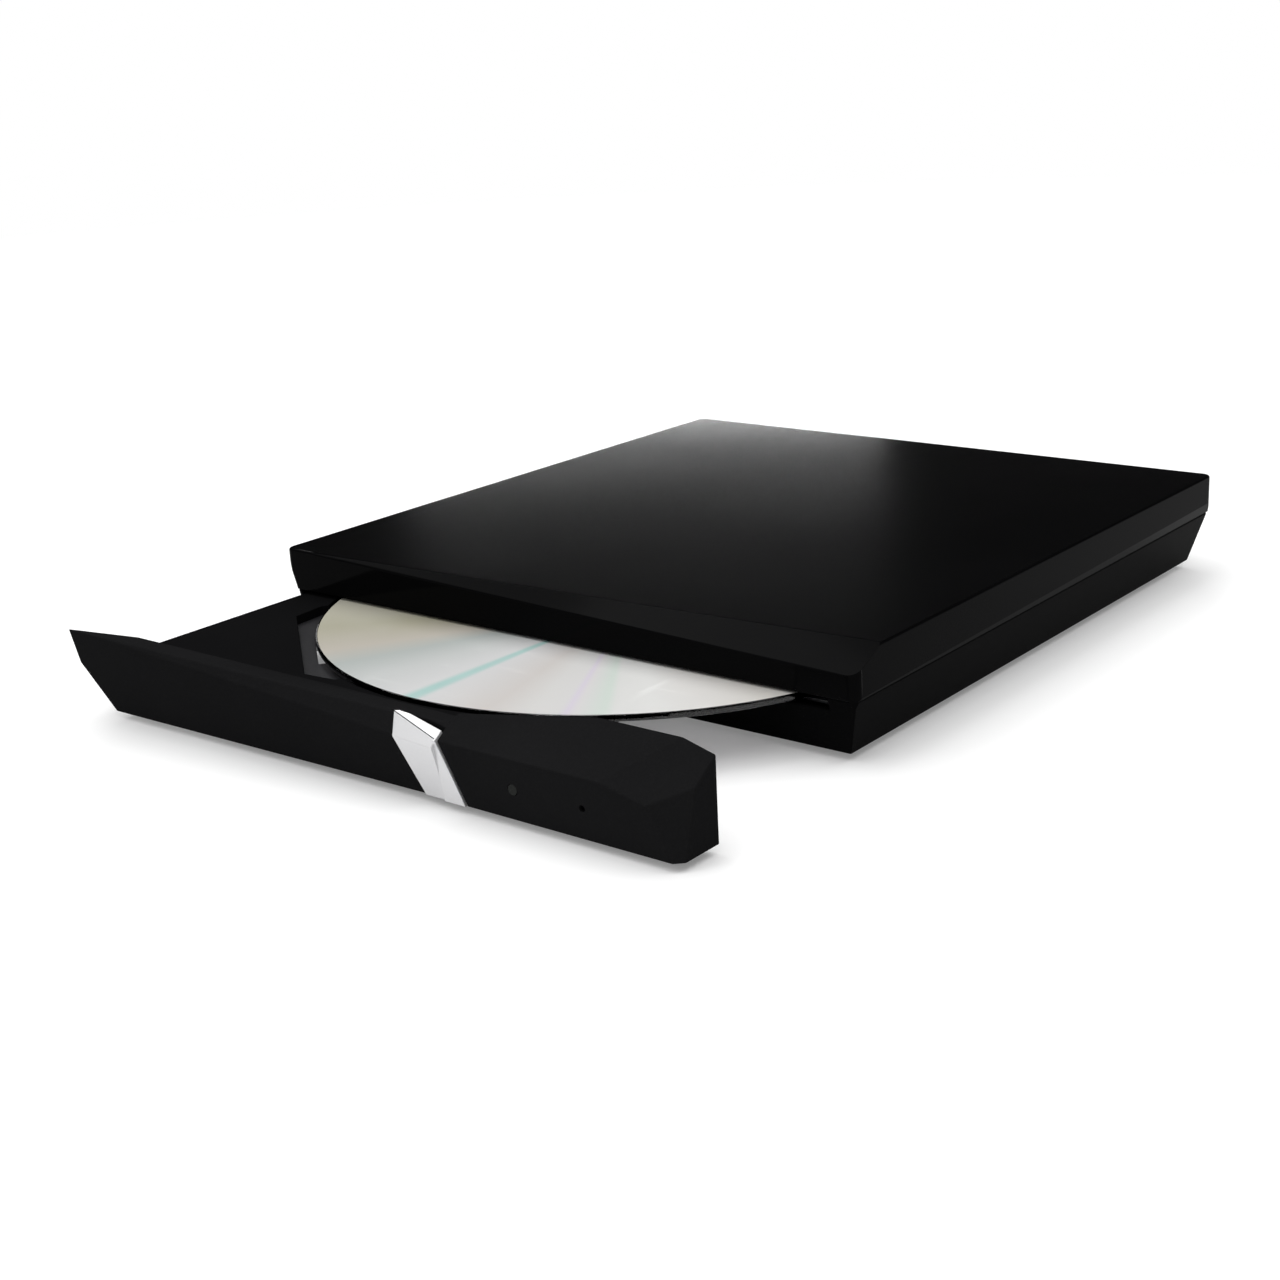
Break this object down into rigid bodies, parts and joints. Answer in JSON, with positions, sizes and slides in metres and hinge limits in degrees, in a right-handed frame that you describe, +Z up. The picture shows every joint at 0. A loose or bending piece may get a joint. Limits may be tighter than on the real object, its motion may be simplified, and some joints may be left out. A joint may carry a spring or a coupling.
{
  "type": "external dvd drive",
  "caption": "Slim external disc drive: faceted black case with a sliding tray, faceted front, slanted eject strip, turning disc and travelling pickup.",
  "frame": {"origin": "middle of the drive's box with the tray partly out, on the surface that it stands on", "axes": "+X to the right seen from the tray's side, +Y to the rear, +Z up"},
  "size_m": [0.1354, 0.1928, 0.0202],
  "materials": {
    "black_plastic": "fine satin grain",
    "bezel_plastic": "polished",
    "tray_plastic": "satin",
    "silver_paint": "silver paint",
    "disc_silver": "polished metal layer under clear plastic",
    "steel_sheet": "pressed sheet",
    "steel_polished": "ground and polished",
    "screw_steel": "blackened",
    "rubber_black": "matt",
    "guide_plastic": "natural, greased",
    "board_green": "lacquered board",
    "chip_black": "moulded",
    "connector_plastic": "moulded",
    "socket_metal": "plated",
    "cable_plastic": "flat cable",
    "lamp_clear": "clear",
    "motor_metal": "satin",
    "sled_zinc": "die cast",
    "lens_glass": "coated",
    "coil_brass": "wound",
    "white_plastic": "moulded"
  },
  "bodies": {
    "case": {"top_cover": "black_plastic", "bottom_cover": "black_plastic", "rubber_feet": "rubber_black", "case_screws": "screw_steel", "mech_screws": "screw_steel", "drive_pan": "steel_sheet", "drive_cover": "steel_sheet", "cover_screws": "screw_steel", "left_guide": "guide_plastic", "right_guide": "guide_plastic", "striker_pin": "steel_polished", "flex_cable": "cable_plastic", "bridge_board": "board_green", "bridge_chips": "chip_black", "sata_connector": "connector_plastic", "usb_shell": "socket_metal", "usb_tongue": "connector_plastic"},
    "left_slide": {"left_slide": "steel_sheet"},
    "right_slide": {"right_slide": "steel_sheet"},
    "tray": {"tray": "tray_plastic", "front_bezel": "bezel_plastic", "button_board": "board_green", "eject_switch": "connector_plastic", "lamp_led": "white_plastic", "lamp_pipe": "lamp_clear", "tray_board": "board_green", "tray_chips": "chip_black", "lock_solenoid": "coil_brass", "traverse_frame": "steel_sheet", "dampers": "rubber_black", "damper_screws": "steel_polished", "mech_cover": "screw_steel", "spindle_motor": "motor_metal", "guide_rods": "steel_polished", "stepper_motor": "motor_metal"},
    "eject_button": {"eject_button": "silver_paint"},
    "spindle": {"turntable": "connector_plastic", "turntable_ring": "rubber_black", "disc": "disc_silver"},
    "pickup_sled": {"sled_body": "sled_zinc", "sled_nut": "white_plastic"},
    "lens_holder": {"lens_holder": "connector_plastic", "objective_lens": "lens_glass"},
    "lead_screw": {"lead_screw": "steel_polished"},
    "lock_lever": {"lock_lever": "white_plastic"},
    "hub_claw_1": {"hub_claw_1": "white_plastic"},
    "hub_claw_2": {"hub_claw_2": "white_plastic"},
    "hub_claw_3": {"hub_claw_3": "white_plastic"}
  },
  "joints": [
    {"name": "tray_slide", "type": "slide", "parent": "case", "child": "tray", "axis": [0, -1, 0], "range_m": [-0.0375, 0.0885]},
    {"name": "left_slide_travel", "type": "slide", "parent": "case", "child": "left_slide", "axis": [0, -1, 0], "range_m": [-0.01875, 0.04425]},
    {"name": "right_slide_travel", "type": "slide", "parent": "case", "child": "right_slide", "axis": [0, -1, 0], "range_m": [-0.01875, 0.04425]},
    {"name": "eject_press", "type": "slide", "parent": "tray", "child": "eject_button", "axis": [0, 1, 0], "range_m": [0, 0.0008], "stiffness_N_per_m": 500, "springref_m": -0.0005},
    {"name": "disc_spin", "type": "hinge", "parent": "tray", "child": "spindle", "pos_m": [0.001, -0.0182, 0.0102], "axis": [0, 0, 1], "continuous": true},
    {"name": "sled_travel", "type": "slide", "parent": "tray", "child": "pickup_sled", "axis": [-0.6428, -0.766, 0], "range_m": [0, 0.033]},
    {"name": "lens_focus", "type": "slide", "parent": "pickup_sled", "child": "lens_holder", "axis": [0, 0, 1], "range_m": [-0.0003, 0.0003], "stiffness_N_per_m": 20},
    {"name": "lead_screw_spin", "type": "hinge", "parent": "tray", "child": "lead_screw", "pos_m": [-0.00214, -0.05212, 0.0075], "axis": [-0.6428, -0.766, 0], "range_deg": [-5, 3965]},
    {"name": "lock_release", "type": "hinge", "parent": "tray", "child": "lock_lever", "pos_m": [-0.047, 0.007, 0.00535], "axis": [0, 0, 1], "range_deg": [-10, 0], "stiffness_Nm_per_rad": 0.002, "springref_deg": 5.73},
    {"name": "claw_press_1", "type": "slide", "parent": "spindle", "child": "hub_claw_1", "axis": [-0.766, 0.6428, 0], "range_m": [0, 0.0005], "stiffness_N_per_m": 200, "springref_m": -0.0003},
    {"name": "claw_press_2", "type": "slide", "parent": "spindle", "child": "hub_claw_2", "axis": [-0.1736, -0.9848, 0], "range_m": [0, 0.0005], "stiffness_N_per_m": 200, "springref_m": -0.0003},
    {"name": "claw_press_3", "type": "slide", "parent": "spindle", "child": "hub_claw_3", "axis": [0.9397, 0.342, 0], "range_m": [0, 0.0005], "stiffness_N_per_m": 200, "springref_m": -0.0003}
  ],
  "couplings": [
    {"joint": "left_slide_travel", "follows": "tray_slide", "ratio": 0.5},
    {"joint": "right_slide_travel", "follows": "tray_slide", "ratio": 0.5},
    {"joint": "lead_screw_spin", "follows": "sled_travel", "rad_per_m": 2094.4}
  ]
}
